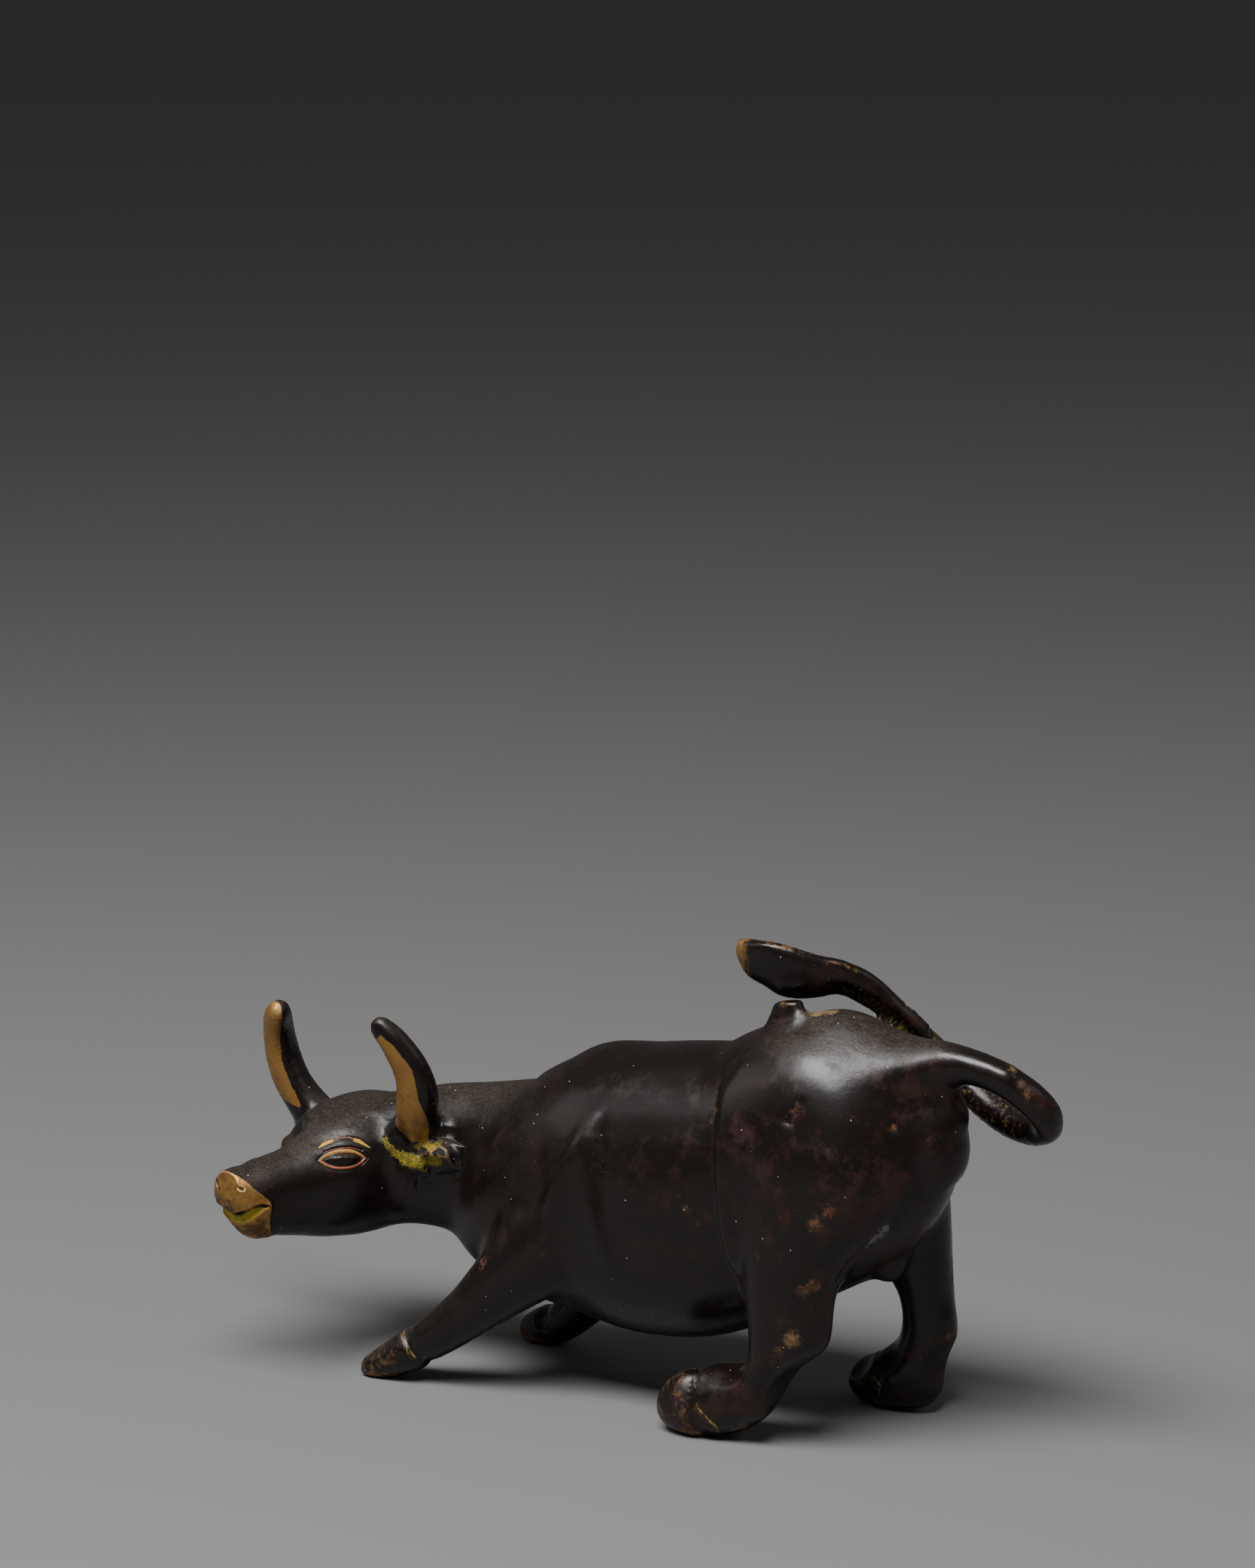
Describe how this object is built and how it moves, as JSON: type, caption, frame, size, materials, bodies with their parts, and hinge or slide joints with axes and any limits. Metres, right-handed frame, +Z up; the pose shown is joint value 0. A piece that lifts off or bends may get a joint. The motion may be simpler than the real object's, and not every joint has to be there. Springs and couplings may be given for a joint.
{
  "type": "bull figurine",
  "caption": "Small cast bronze bull stepping forward with its head low and turned, horns up and tail looped over its back, for a shelf or desk.",
  "frame": {"origin": "middle of the overall box, on the ground under the feet", "axes": "+Z up; -X is the way the bull steps; -Y is its left side; +X runs to the bend of the tail"},
  "size_m": [0.1632, 0.0618, 0.0891],
  "materials": {
    "dark_bronze": "dark brown patina, polished, brassy where worn"
  },
  "bodies": {
    "root": {"bull": "dark_bronze"}
  },
  "joints": []
}
